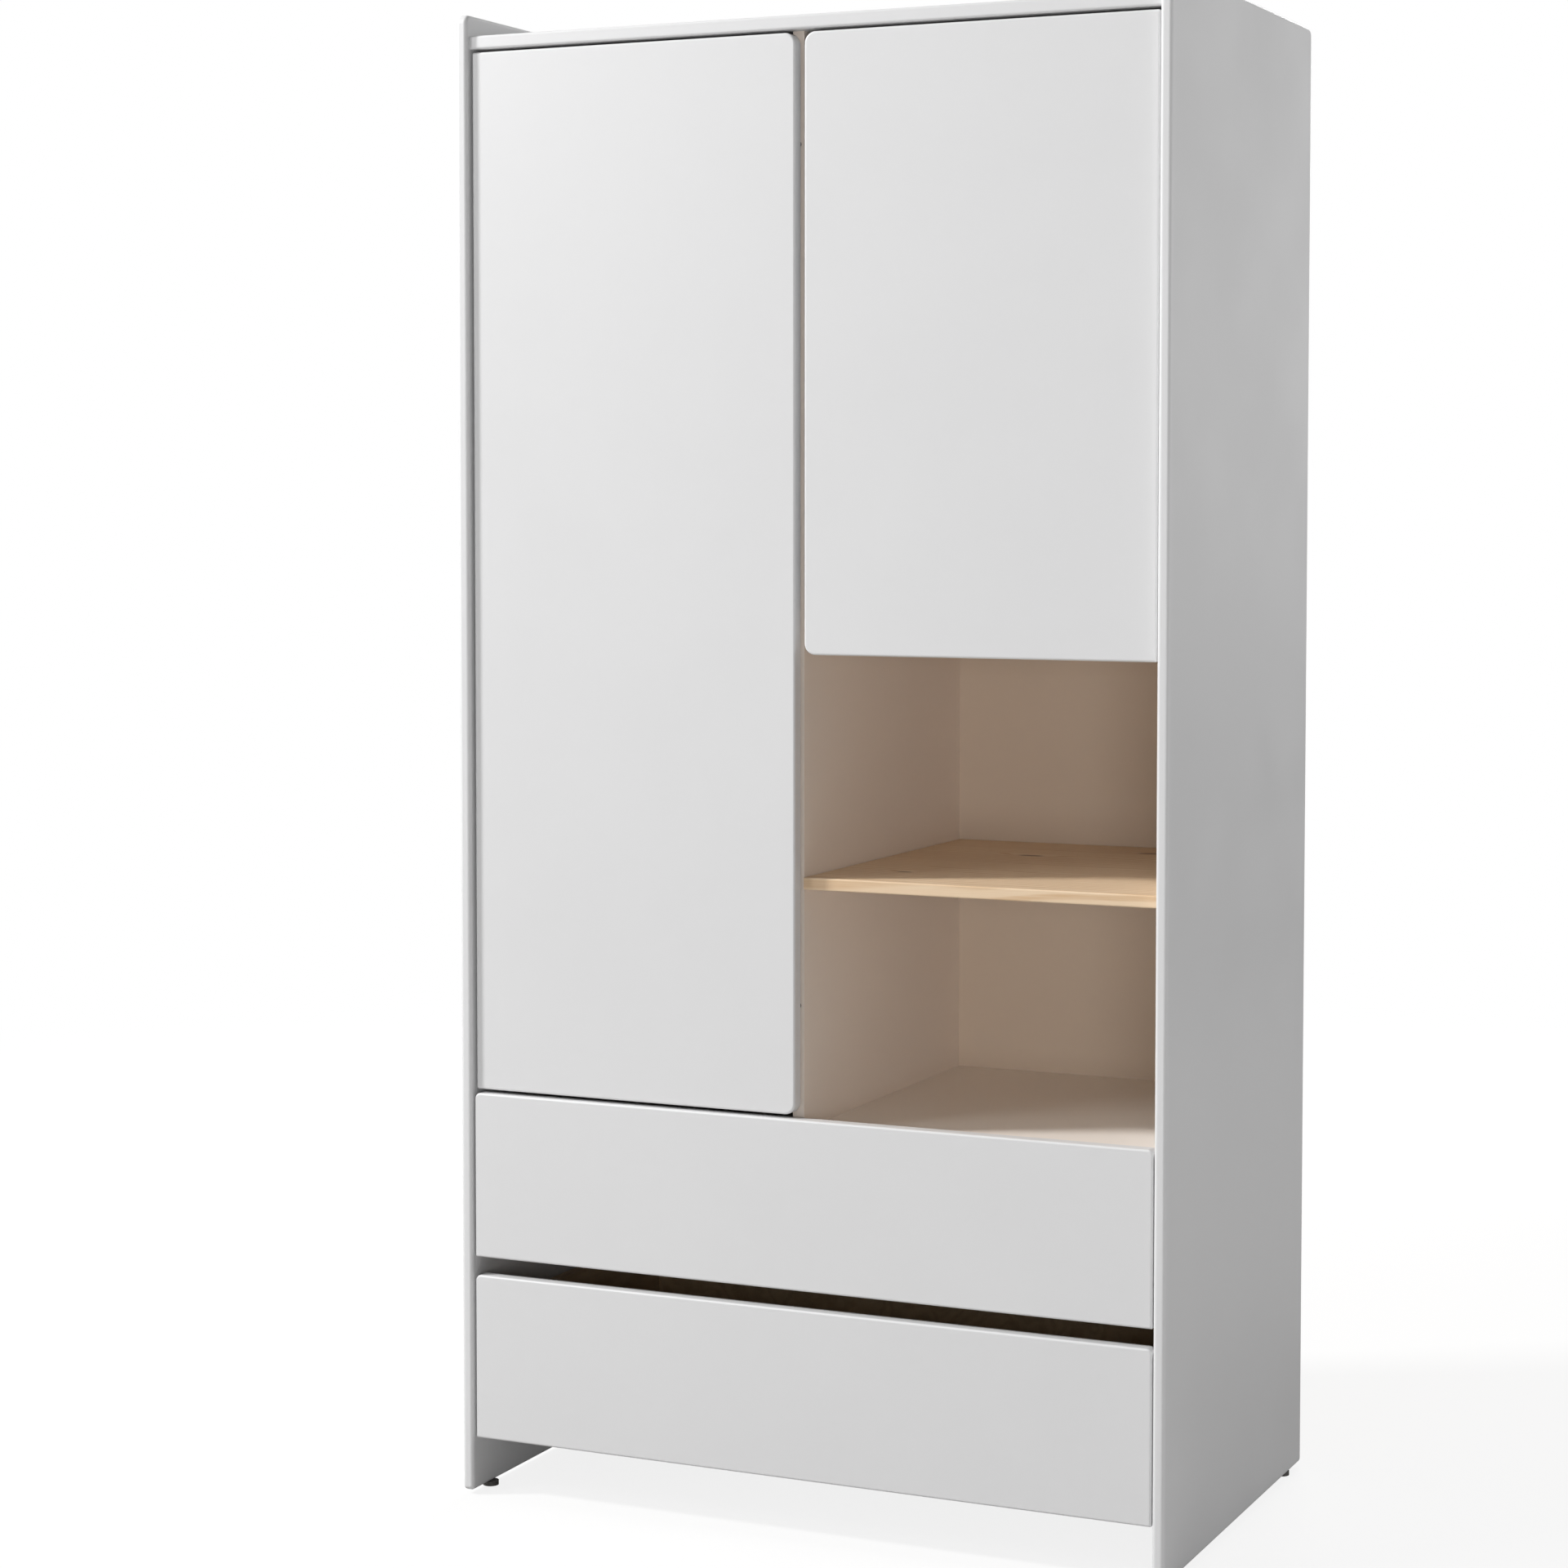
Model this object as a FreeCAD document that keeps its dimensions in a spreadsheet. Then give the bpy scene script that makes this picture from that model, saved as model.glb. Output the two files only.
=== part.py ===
import FreeCAD, Part
import os
import re
import Sketcher

# Free-standing wardrobe: a tall hanging compartment behind the left door, a cupboard behind the
# right door, an open niche with a pine shelf under it, and two full-width drawers at the bottom.
# Frame: +X to the right, -Y to the front, +Z up, origin on the floor under the middle.

App = FreeCAD
Vec = App.Vector
DOC = App.newDocument("Wardrobe")

SIZES = {
    # overall
    "width": (1000, "outside width over the side panels"),
    "depth": (610, "outside depth of the side panels"),
    "height": (2000, "from the floor to the top of the side panels"),
    # boards
    "side_t": (16, "side panel thickness"),
    "board_t": (16, "divider, floor, ceiling, shelf and bottom board thickness"),
    "top_t": (18, "top panel thickness"),
    "front_t": (18, "door and drawer front thickness"),
    "back_t": (8, "back panel thickness"),
    "side_corner_r": (12, "top corners of the side panels, seen from the side"),
    "side_foot_r": (6, "bottom corners of the side panels"),
    "side_edge_r": (5, "rounded edges of the side panels"),
    "free_corner_r": (15, "corners at a door's free edge"),
    "hinge_corner_r": (2.5, "corners at a door's hinge edge"),
    "drawer_corner_r": (8, "top corners of the drawer fronts"),
    "front_foot_r": (1.5, "bottom corners of the drawer fronts"),
    "front_edge_r": (3, "rounded front edges of the doors and drawer fronts"),
    "shelf_edge_r": (2, "rounded front edges of the pine shelf"),
    "top_edge_r": (3, "rounded front edges of the top panel"),
    # carcass layout
    "glide_t": (6, "thickness of the glides under the side panels"),
    "glide_r": (11, "glide radius"),
    "glide_in": (12, "from the outer face to the middle of a glide"),
    "glide_end": (55, "from the front or rear edge of a side panel to a glide"),
    "side_rise": (28, "side panels above the top panel's upper face"),
    "top_recess": (8, "top panel's front edge behind the side panels' front edges"),
    "top_rear": (11, "top panel's rear edge in front of the side panels' rear edges"),
    "back_inset": (27, "back panels' rear face in front of the side panels' rear edges"),
    "divider_x": (-4, "right face of the divider"),
    "divider_set": (5, "divider's front edge behind the doors"),
    "inner_set": (6, "other inner boards' front edges behind the doors"),
    "shelf_set": (2, "pine shelf's front edge behind the doors' back plane"),
    "loose_set": (28, "hat shelf and cupboard shelf behind the doors' back plane"),
    "shelf_slack": (1, "gap at each end of a shelf"),
    "back_slack": (2, "gap behind a shelf"),
    "niche_h": (665, "clear height of the niche"),
    "niche_shelf_h": (314, "niche floor to the underside of the pine shelf"),
    "hat_shelf_drop": (304, "top panel to the underside of the hat shelf"),
    "bottom_rise": (3, "bottom panel above the lower drawer front's lower edge"),
    "plinth_h": (60, "height of the rear plinth rail"),
    "wall_rail_h": (100, "height of the wall fixing rail"),
    # doors
    "door_recess": (9, "doors behind the side panels' front edges"),
    "door_gap_side": (3, "door to side panel"),
    "door_gap_top": (4, "door to top panel"),
    "door_gap_mid": (13, "between the two doors"),
    "door_reveal": (3, "left door's edge short of the divider's right face"),
    "door_gap_low": (5, "left door to upper drawer front"),
    "grip_overhang": (45, "right door hangs this far below the niche ceiling"),
    # drawers
    "drawer_recess": (4, "drawer fronts behind the side panels' front edges"),
    "drawer_gap_side": (2.5, "drawer front to side panel"),
    "drawer_base": (79, "lower edge of the lower drawer front"),
    "drawer_front_h": (224, "height of each drawer front"),
    "grip_gap": (25, "open grip gap between the drawer fronts"),
    "cover_drop": (17, "niche floor below the upper drawer front's top edge"),
    "box_rise": (29, "drawer side's lower edge above its front's lower edge"),
    "box_head": (12, "drawer side's top edge below the board over its drawer"),
    "box_t": (15, "drawer side and back thickness"),
    "box_tail": (53, "drawer's rear end in front of the back panel"),
    "base_t": (6, "drawer bottom thickness"),
    "base_rise": (10, "drawer bottom above the side's lower edge"),
    "groove_d": (6, "groove depth in the drawer sides"),
    "groove_slack": (0.2, "play of a drawer bottom in its groove"),
    # runners
    "runner_gap": (13, "space for a runner on each side of a drawer box"),
    "runner_h": (45, "height of the outer rail"),
    "runner_short": (20, "rails shorter than the drawer sides"),
    "runner_rise": (38, "rail centre above the drawer side's lower edge"),
    "rail_t": (1.2, "sheet thickness of the rails"),
    "rail_play": (0.3, "play between two rails"),
    "outer_reach": (5.5, "width of the outer rail"),
    "middle_start": (1.6, "middle rail's web from the side panel"),
    "middle_reach": (11, "middle rail's outermost edge from the side panel"),
    "inner_start": (6.1, "inner rail's flanges from the side panel"),
    "rail_screw_end": (40, "first rail screw from the rail's end"),
    # hinges
    "pivot_in": (18, "hinge pin from the door's hinge edge"),
    "pivot_deep": (7, "hinge pin in front of the door's back plane"),
    "swing_play": (1.7, "turning hinge edge of the right door to the niche ceiling"),
    "hinge_end": (90, "outermost hinges from the door's ends"),
    "cup_r": (17.5, "radius of the cup's hole in the door"),
    "cup_tab": (3, "wood between the cup's hole and the door's edge"),
    "cup_depth": (11.5, "cup depth"),
    "cup_fit": (0.05, "radial play of the cup in its hole"),
    "cup_wall": (1, "cup wall"),
    "flange_t": (1.2, "cup flange thickness"),
    "flange_r": (18.5, "cup flange radius"),
    "flange_len": (62, "length of the flange's screw plate"),
    "flange_wide": (14, "width of the flange's screw plate"),
    "cup_screw_out": (9.5, "cup screws beyond the cup's centre"),
    "cup_screw_gap": (45, "distance between a cup's screws"),
    "arm_t": (2, "thickness of the hinge arm"),
    "arm_h": (10, "height of the hinge arm"),
    "arm_len": (44, "length of the arm on its plate"),
    "neck_play": (4, "arm's bend to the far side of the cup's hole"),
    "neck_clear": (2.7, "arm's back leg behind the turning hinge edge"),
    "knuckle_r": (3, "hinge knuckle radius"),
    "lug_r": (3.2, "half width of the lugs that hold the pin"),
    "lug_gap": (0.3, "knuckle to lug"),
    "pin_r": (1.5, "hinge pin radius"),
    "pin_half": (10, "half the pin's length"),
    "pin_fit": (0.05, "radial play of the hinge pin"),
    "plate_t": (2, "hinge plate thickness"),
    "plate_h": (32, "hinge plate height"),
    "plate_screw_gap": (22, "distance between a hinge plate's screws"),
    # fasteners and small fittings
    "screw_r": (2, "screw shank radius"),
    "screw_fit": (0.05, "radial play of a screw in its hole"),
    "screw_len": (12, "screw length in the wood"),
    "screw_head_r": (3.8, "screw head radius"),
    "screw_head_t": (1.2, "screw head thickness"),
    "cam_r": (7.5, "cam lock radius"),
    "cam_h": (12.5, "cam lock height"),
    "cam_in": (34, "cam centre from the board's end"),
    "cam_edge": (60, "cam from the board's front or rear edge"),
    "bolt_r": (3.5, "cam bolt radius"),
    "bolt_in": (11, "cam bolt's depth in the side panel"),
    "fit": (0.1, "radial play of cams, bolts and shelf pins in their holes"),
    "peg_r": (2.5, "shelf pin radius"),
    "peg_half": (8, "half the length of a shelf pin"),
    "peg_edge": (50, "shelf pin from the shelf's front or rear edge"),
    "tube_r": (12.5, "clothes rail radius"),
    "tube_t": (1.2, "clothes rail wall"),
    "tube_drop": (60, "clothes rail's middle below the hat shelf"),
    "socket_r": (20, "rail socket flange radius"),
    "socket_t": (3, "rail socket flange thickness"),
    "socket_wall": (2.5, "rail socket ring wall"),
    "socket_len": (14, "rail socket ring length"),
    "buffer_r": (4, "door buffer radius"),
    "buffer_play": (0.2, "buffer to closed door"),
    "buffer_end": (140, "left door buffers from the door's ends"),
    "buffer_x": (34, "first right door buffer from the divider"),
    "buffer_step": (210, "distance between the right door buffers"),
    "bracket_t": (2, "wall bracket sheet"),
    "bracket_w": (50, "wall bracket width"),
    "bracket_h": (26, "wall bracket height"),
    "bracket_leg": (50, "wall bracket leg on the top panel"),
    "bracket_x": (350, "wall bracket from the middle"),
    "bracket_hole_r": (3, "wall bracket hole radius"),
    "bracket_hole_z": (15, "wall bracket hole above the top panel"),
}

SHEET = DOC.addObject("Spreadsheet::Sheet", "Dims")
for row, (alias, (value, note)) in enumerate(SIZES.items(), start=1):
    SHEET.set(f"A{row}", note)
    SHEET.set(f"B{row}", str(value))
    SHEET.setAlias(f"B{row}", alias)
DOC.recompute()

# Turns that lay a shape's own X, Y, Z along the wardrobe's axes.
FLAT = App.Rotation()
TO_FRONT = App.Rotation(Vec(1, 0, 0), 90)        # own Y up, own Z to the front
TO_RIGHT = App.Rotation(Vec(1, 1, 1), 120)       # own X back, own Y up, own Z to the right
ALONG_X = App.Rotation(Vec(0, 1, 0), 90)
ALONG_Y = App.Rotation(Vec(1, 0, 0), -90)
HALF_TURN = App.Rotation(Vec(0, 1, 0), 180)

# Places that several pieces share, as expressions of the sizes.
INNER = "(width / 2 - side_t)"
SIDE_FRONT = "(-depth / 2)"
DOOR_BACK = "(-depth / 2 + door_recess + front_t)"
DIVIDER_FRONT = f"({DOOR_BACK} + divider_set)"
BOARD_FRONT = f"({DOOR_BACK} + inner_set)"
BACK_FACE = "(depth / 2 - back_inset - back_t)"
TOP_LOW = "(height - side_rise - top_t)"
TOP_HIGH = "(height - side_rise)"
UPPER_BASE = "(drawer_base + drawer_front_h + grip_gap)"
DRAWER_TOP = f"({UPPER_BASE} + drawer_front_h)"
FLOOR_HIGH = f"({DRAWER_TOP} - cover_drop)"
CEILING_LOW = f"({FLOOR_HIGH} + niche_h)"
CEILING_HIGH = f"({CEILING_LOW} + board_t)"
BOTTOM_LOW = "(drawer_base + bottom_rise)"
LEFT_DOOR_LOW = f"({DRAWER_TOP} + door_gap_low)"
RIGHT_DOOR_LOW = f"({CEILING_LOW} - grip_overhang)"
DOOR_HIGH = f"({TOP_LOW} - door_gap_top)"
LEFT_DOOR_END = "(divider_x - door_reveal)"
RIGHT_DOOR_START = f"({LEFT_DOOR_END} + door_gap_mid)"
HAT_LOW = f"({TOP_LOW} - hat_shelf_drop)"
CUPBOARD_SHELF_LOW = f"(({CEILING_HIGH} + {TOP_LOW} - board_t) / 2)"
NICHE_SHELF_LOW = f"({FLOOR_HIGH} + niche_shelf_h)"
DRAWER_FACE = "(-depth / 2 + drawer_recess)"
DRAWER_BACK = f"({DRAWER_FACE} + front_t)"
BOX_H = "(drawer_front_h - box_rise - cover_drop - board_t - box_head)"
BOX_LEN = f"({BACK_FACE} - box_tail - {DRAWER_BACK})"
RUNNER_LEN = f"({BOX_LEN} - runner_short)"
PIVOT_X = f"({INNER} - door_gap_side - pivot_in)"
PIVOT_Y = f"({DOOR_BACK} - pivot_deep)"
SWING_R = "sqrt(pivot_in ^ 2 + pivot_deep ^ 2)"
CEILING_FRONT = f"({PIVOT_Y} + {SWING_R} + swing_play)"
NECK_X = "(cup_tab + 2 * cup_r - pivot_in - neck_play - arm_t)"
NECK_Y = f"({SWING_R} + neck_clear)"
CUP_U = "(cup_tab + cup_r - pivot_in)"
REAR_V = "pivot_deep"
PANEL_U = "(door_gap_side + pivot_in)"

NODES = {}


def ex(text):
    """Turn the size names in an expression into references to the sheet's cells."""
    def swap(match):
        word = match.group(0)
        return "Dims." + word if word in SIZES else word
    return re.sub(r"[a-z_]\w*", swap, text)


def bind(obj, prop, text):
    obj.setExpression(prop, ex(text))


def place(obj, at, turn=FLAT):
    obj.Placement = App.Placement(Vec(), turn)
    for axis, text in zip("xyz", at):
        bind(obj, f".Placement.Base.{axis}", text)
    return obj


def keep(obj, name):
    """Name a finished sub-part; its label names its file."""
    obj.Label = name
    NODES[name] = obj
    return obj


def from_side(side, text):
    """X of a place that lies some way in from the left (-1) or right (1) side panel's inner face."""
    return f"(-{INNER} + ({text}))" if side < 0 else f"({INNER} - ({text}))"


# ---------------------------------------------------------------- solids

def box(size, at, name="Box"):
    obj = DOC.addObject("Part::Box", name)
    for prop, text in zip(("Length", "Width", "Height"), size):
        bind(obj, prop, text)
    return place(obj, at)


def rod(radius, length, at, turn=FLAT, name="Rod"):
    obj = DOC.addObject("Part::Cylinder", name)
    bind(obj, "Radius", radius)
    bind(obj, "Height", length)
    return place(obj, at, turn)


def bundle(shapes, name="Group"):
    obj = DOC.addObject("Part::Compound", name)
    obj.Links = shapes
    return obj


def cut(base, tools, name="Cut"):
    obj = DOC.addObject("Part::Cut", name)
    obj.Base = base
    obj.Tool = tools[0] if len(tools) == 1 else bundle(tools, name + "Tools")
    return obj


def fuse(shapes, name="Fuse"):
    obj = DOC.addObject("Part::MultiFuse", name)
    obj.Shapes = shapes
    return obj


def common(first, second, name="Common"):
    obj = DOC.addObject("Part::MultiCommon", name)
    obj.Shapes = [first, second]
    return obj


def sketch(body, name):
    plane = [part for part in body.Origin.OriginFeatures if part.Role == "XY_Plane"][0]
    obj = body.newObject("Sketcher::SketchObject", name)
    obj.AttachmentSupport = (plane, [""])
    obj.MapMode = "FlatFace"
    return obj


def pin_point(obj, geo, spot, x, y):
    """Fix a sketch point by two dimensions from the origin, each bound to the sheet."""
    for kind, text in (("DistanceX", x), ("DistanceY", y)):
        index = obj.addConstraint(Sketcher.Constraint(kind, -1, 1, geo, spot, 1.0))
        bind(obj, f"Constraints[{index}]", text)


def outline(body, points, name):
    """A closed outline of straight lines through the given points."""
    obj = sketch(body, name)
    count = len(points)
    start = [App.Rotation(Vec(0, 0, 1), 360.0 * i / count).multVec(Vec(50, 0, 0)) for i in range(count)]
    for i in range(count):
        obj.addGeometry(Part.LineSegment(start[i], start[(i + 1) % count]), False)
    for i in range(count):
        obj.addConstraint(Sketcher.Constraint("Coincident", i, 2, (i + 1) % count, 1))
    for i, (x, y) in enumerate(points):
        pin_point(obj, i, 1, x, y)
    return obj


def circle(body, x, y, radius, name):
    obj = sketch(body, name)
    obj.addGeometry(Part.Circle(Vec(0, 0, 0), Vec(0, 0, 1), 5), False)
    pin_point(obj, 0, 3, x, y)
    index = obj.addConstraint(Sketcher.Constraint("Radius", 0, 5.0))
    bind(obj, f"Constraints[{index}]", radius)
    return obj


def raise_pad(body, profile, length, both_ways=False):
    obj = body.newObject("PartDesign::Pad", profile.Name + "Pad")
    obj.Profile = profile
    bind(obj, "Length", length)
    if both_ways:
        obj.SideType = "Symmetric"
    return obj


def slab(name, points, thickness, at, turn=FLAT, both_ways=False):
    """A board or strip: an outline padded to its thickness, as a body of its own."""
    body = DOC.addObject("PartDesign::Body", name)
    raise_pad(body, outline(body, points, name + "Outline"), thickness, both_ways)
    place(body, at, turn)
    DOC.recompute()
    return body


def rectangle(wide, high):
    return [("0", "0"), (wide, "0"), (wide, high), ("0", high)]


def round_off(body, radius, chosen):
    """Fillet the edges of the body's last feature for which chosen(edge, box of the body) is true."""
    base = body.Tip
    bounds = base.Shape.BoundBox
    names = [f"Edge{i}" for i, edge in enumerate(base.Shape.Edges, start=1) if chosen(edge, bounds)]
    obj = body.newObject("PartDesign::Fillet", body.Name + "Round")
    obj.Base = (base, names)
    bind(obj, "Radius", radius)
    DOC.recompute()
    return obj


NEAR = 0.01


def rises(edge):
    return edge.BoundBox.ZLength > NEAR and edge.BoundBox.XLength < NEAR


def upper_corner(edge, bounds):
    return rises(edge) and edge.BoundBox.YMin > bounds.Center.y


def lower_corner(edge, bounds):
    return rises(edge) and edge.BoundBox.YMax < bounds.Center.y


def left_corner(edge, bounds):
    return rises(edge) and edge.BoundBox.XMax < bounds.Center.x


def right_corner(edge, bounds):
    return rises(edge) and edge.BoundBox.XMin > bounds.Center.x


def outer_rim(edge, bounds):
    return edge.BoundBox.ZMin > bounds.ZMax - NEAR


def both_rims(edge, bounds):
    return edge.BoundBox.ZLength < NEAR


def front_rims(edge, bounds):
    return edge.BoundBox.ZLength < NEAR and edge.BoundBox.YMax < bounds.YMin + NEAR


# ---------------------------------------------------------------- holes

def into_side(side, y, z, radius, deep):
    """A hole from a side panel's inner face into the wood."""
    x = f"(-{INNER} - ({deep}))" if side < 0 else f"({INNER} - side_t)"
    start = x if side < 0 else f"({INNER} - 1)"
    return rod(radius, f"({deep}) + 1", (start, y, z), ALONG_X, "Hole")


def into_divider(side, y, z, radius, deep):
    """A hole into the divider from its left (-1) or right (1) face."""
    start = "(divider_x - board_t - 1)" if side < 0 else f"(divider_x - ({deep}))"
    return rod(radius, f"({deep}) + 1", (start, y, z), ALONG_X, "Hole")


# ---------------------------------------------------------------- where things sit

FIXED_BOARDS = {
    # name: (low z, thickness, front y, left end x, left end is the divider, cams face up)
    "top_panel": (TOP_LOW, "top_t", "(-depth / 2 + top_recess)", f"-{INNER}", False, True),
    "middle_floor_panel": (f"({FLOOR_HIGH} - board_t)", "board_t", BOARD_FRONT, f"-{INNER}", False, False),
    "niche_ceiling_panel": (CEILING_LOW, "board_t", CEILING_FRONT, "divider_x", True, True),
    "bottom_panel": (BOTTOM_LOW, "board_t", BOARD_FRONT, f"-{INNER}", False, False),
}
CAM_ROWS = (f"({BOARD_FRONT} + cam_edge)", f"({BACK_FACE} - cam_edge)")
SHELVES = {
    # name: (low z, front y, left wall is the divider)
    "niche_shelf": (NICHE_SHELF_LOW, f"({DOOR_BACK} + shelf_set)", True),
    "cupboard_shelf": (CUPBOARD_SHELF_LOW, f"({DOOR_BACK} + loose_set)", True),
    "hat_shelf": (HAT_LOW, f"({DOOR_BACK} + loose_set)", False),
}
DRAWERS = {"lower": "drawer_base", "upper": UPPER_BASE}
SIDES = {"left": -1, "right": 1}
DOORS = {
    # side, low z, hinge heights
    "left": (-1, LEFT_DOOR_LOW, [f"({LEFT_DOOR_LOW} + hinge_end)",
                                 f"(({LEFT_DOOR_LOW} + {DOOR_HIGH}) / 2)",
                                 f"({DOOR_HIGH} - hinge_end)"]),
    "right": (1, RIGHT_DOOR_LOW, [f"({RIGHT_DOOR_LOW} + hinge_end)", f"({DOOR_HIGH} - hinge_end)"]),
}
TUBE_Y = f"(({DOOR_BACK} + {BACK_FACE}) / 2)"
TUBE_Z = f"({HAT_LOW} - tube_drop)"
RAIL_FRONT = BOARD_FRONT
RAIL_SCREWS = [f"({RAIL_FRONT} + rail_screw_end)",
               f"({RAIL_FRONT} + {RUNNER_LEN} / 2)",
               f"({RAIL_FRONT} + {RUNNER_LEN} - rail_screw_end)"]
SCREW_HOLE = "screw_r + screw_fit"


def rail_z(drawer):
    return f"({DRAWERS[drawer]} + box_rise + runner_rise)"


def board_mid(name):
    low, thick = FIXED_BOARDS[name][:2]
    return f"({low} + {thick} / 2)"


def peg_rows(front):
    return (f"({front} + peg_edge)", f"({BACK_FACE} - back_slack - peg_edge)")


# ---------------------------------------------------------------- carcass

def side_panel(name, side):
    body = slab(name + "Board", rectangle("depth", "height - glide_t"), "side_t",
                ("-width / 2" if side < 0 else INNER, SIDE_FRONT, "glide_t"), TO_RIGHT)
    round_off(body, "side_corner_r", upper_corner)
    round_off(body, "side_foot_r", lower_corner)
    round_off(body, "side_edge_r", both_rims)
    holes = []
    for board, spec in FIXED_BOARDS.items():
        if side > 0 or not spec[4]:
            mid = board_mid(board)
            holes += [into_side(side, y, mid, "bolt_r + fit", "bolt_in + fit") for y in CAM_ROWS]
    for shelf, (low, front, on_divider) in SHELVES.items():
        if side > 0 and on_divider or side < 0 and not on_divider:
            z = f"{low} - peg_r"
            holes += [into_side(side, y, z, "peg_r + fit", "peg_half") for y in peg_rows(front)]
    for drawer in DRAWERS:
        holes += [into_side(side, y, rail_z(drawer), SCREW_HOLE, "screw_len") for y in RAIL_SCREWS]
    door = "left" if side < 0 else "right"
    for z in DOORS[door][2]:
        for rise in PLATE_SCREW_RISES:
            holes.append(into_side(side, PLATE_SCREW_Y, f"({z} + {rise})", SCREW_HOLE, "screw_len"))
    keep(cut(body, holes, name + "Cut"), name)


def fixed_board(name):
    low, thick, front, start, on_divider, cams_up = FIXED_BOARDS[name]
    rear = "(depth / 2 - top_rear)" if name == "top_panel" else BACK_FACE
    size = (f"{INNER} - ({start})", f"{rear} - {front}", thick)
    if name == "top_panel":
        body = slab(name + "Board", rectangle(size[0], size[1]), thick, (start, front, low))
        round_off(body, "top_edge_r", front_rims)
    else:
        body = box(size, (start, front, low), name + "Board")
    holes = []
    for y in CAM_ROWS:
        cam_z = f"({low} + {thick} - cam_h)" if cams_up else f"({low} - 1)"
        near = (f"({start} + cam_in)", f"({start} - 1)")
        far = (f"({INNER} - cam_in)", f"({INNER} - cam_in)")
        for x, bore in (near, far):
            pocket = rod("cam_r + fit", "cam_h + 1", (x, y, cam_z), FLAT, "CamHole")
            way = rod("bolt_r + fit", "cam_in + 1", (bore, y, board_mid(name)), ALONG_X, "BoltHole")
            holes.append(fuse([pocket, way], "FittingHole"))
    keep(cut(body, holes, name + "Cut"), name)


def cam_fittings():
    cams = []
    bolts = []
    for name, (low, thick, front, start, on_divider, cams_up) in FIXED_BOARDS.items():
        cam_z = f"({low} + {thick} - cam_h)" if cams_up else low
        reach = "cam_in - cam_r - fit + bolt_in"
        for y in CAM_ROWS:
            cams.append(rod("cam_r", "cam_h", (f"({start} + cam_in)", y, cam_z), FLAT, "Cam"))
            cams.append(rod("cam_r", "cam_h", (f"({INNER} - cam_in)", y, cam_z), FLAT, "Cam"))
            mid = board_mid(name)
            bolts.append(rod("bolt_r", reach, (f"({start} - bolt_in)", y, mid), ALONG_X, "Bolt"))
            far = f"({INNER} - cam_in + cam_r + fit)"
            bolts.append(rod("bolt_r", reach, (far, y, mid), ALONG_X, "Bolt"))
    keep(bundle(cams), "cam_locks")
    keep(bundle(bolts), "cam_bolts")


def divider():
    low = FLOOR_HIGH
    body = box(("board_t", f"{BACK_FACE} - {DIVIDER_FRONT}", f"{TOP_LOW} - {low}"),
               ("divider_x - board_t", DIVIDER_FRONT, low), "DividerBoard")
    holes = [into_divider(1, y, board_mid("niche_ceiling_panel"), "bolt_r + fit", "bolt_in + fit")
             for y in CAM_ROWS]
    for shelf, (shelf_low, front, on_divider) in SHELVES.items():
        face = 1 if on_divider else -1
        holes += [into_divider(face, y, f"{shelf_low} - peg_r", "peg_r + fit", "peg_half")
                  for y in peg_rows(front)]
    keep(cut(body, holes, "DividerCut"), "divider_panel")


def shelf_board(name):
    low, front, on_divider = SHELVES[name]
    start = "(divider_x + shelf_slack)" if on_divider else f"(-{INNER} + shelf_slack)"
    end = f"({INNER} - shelf_slack)" if on_divider else "(divider_x - board_t - shelf_slack)"
    wide = f"{end} - {start}"
    deep = f"{BACK_FACE} - back_slack - {front}"
    body = slab(name + "Board", rectangle(wide, deep), "board_t", (start, front, low))
    round_off(body, "shelf_edge_r", front_rims)
    keep(body, name)


def shelf_pins():
    pins = []
    for name, (low, front, on_divider) in SHELVES.items():
        left = "divider_x" if on_divider else f"-{INNER}"
        right = INNER if on_divider else "(divider_x - board_t)"
        for y in peg_rows(front):
            for x, shift in ((left, "fit"), (right, "-fit")):
                spot = (f"({x} - peg_half + {shift})", y, f"({low} - peg_r - fit)")
                pins.append(rod("peg_r", "2 * peg_half", spot, ALONG_X, "Peg"))
    keep(bundle(pins), "shelf_pins")


def back_panels():
    split = "(divider_x - board_t / 2)"
    seam = f"({FLOOR_HIGH} - board_t / 2)"
    high = f"{TOP_LOW} - {seam}"
    keep(box((f"{split} + {INNER}", "back_t", high), (f"-{INNER}", BACK_FACE, seam)), "back_panel_left")
    keep(box((f"{INNER} - {split}", "back_t", high), (split, BACK_FACE, seam)), "back_panel_right")
    keep(box((f"2 * {INNER}", "back_t", f"{seam} - {BOTTOM_LOW}"), (f"-{INNER}", BACK_FACE, BOTTOM_LOW)),
         "back_panel_lower")


def rear_rails():
    wide = f"2 * {INNER}"
    wall_at = (f"-{INNER}", f"({BACK_FACE} + back_t)", f"({TOP_LOW} - wall_rail_h)")
    foot_at = (f"-{INNER}", f"({BACK_FACE} - board_t)", f"({BOTTOM_LOW} - plinth_h)")
    keep(box((wide, "board_t", "wall_rail_h"), wall_at), "wall_fixing_rail")
    keep(box((wide, "board_t", "plinth_h"), foot_at), "plinth_rail")


def wall_brackets():
    brackets = []
    for side in (-1, 1):
        x = f"({side} * bracket_x - bracket_w / 2)"
        rear = "depth / 2"
        leg = box(("bracket_w", "bracket_leg", "bracket_t"), (x, f"({rear} - bracket_leg)", TOP_HIGH), "Leg")
        wall = box(("bracket_w", "bracket_t", "bracket_h"), (x, f"({rear} - bracket_t)", TOP_HIGH), "Upright")
        hole_at = (f"({side} * bracket_x)", f"({rear} - bracket_t - 1)", f"({TOP_HIGH} + bracket_hole_z)")
        hole = rod("bracket_hole_r", "bracket_t + 2", hole_at, ALONG_Y, "Hole")
        brackets.append(cut(fuse([leg, wall], "Angle"), [hole], "Bracket"))
    keep(bundle(brackets), "wall_brackets")


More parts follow.
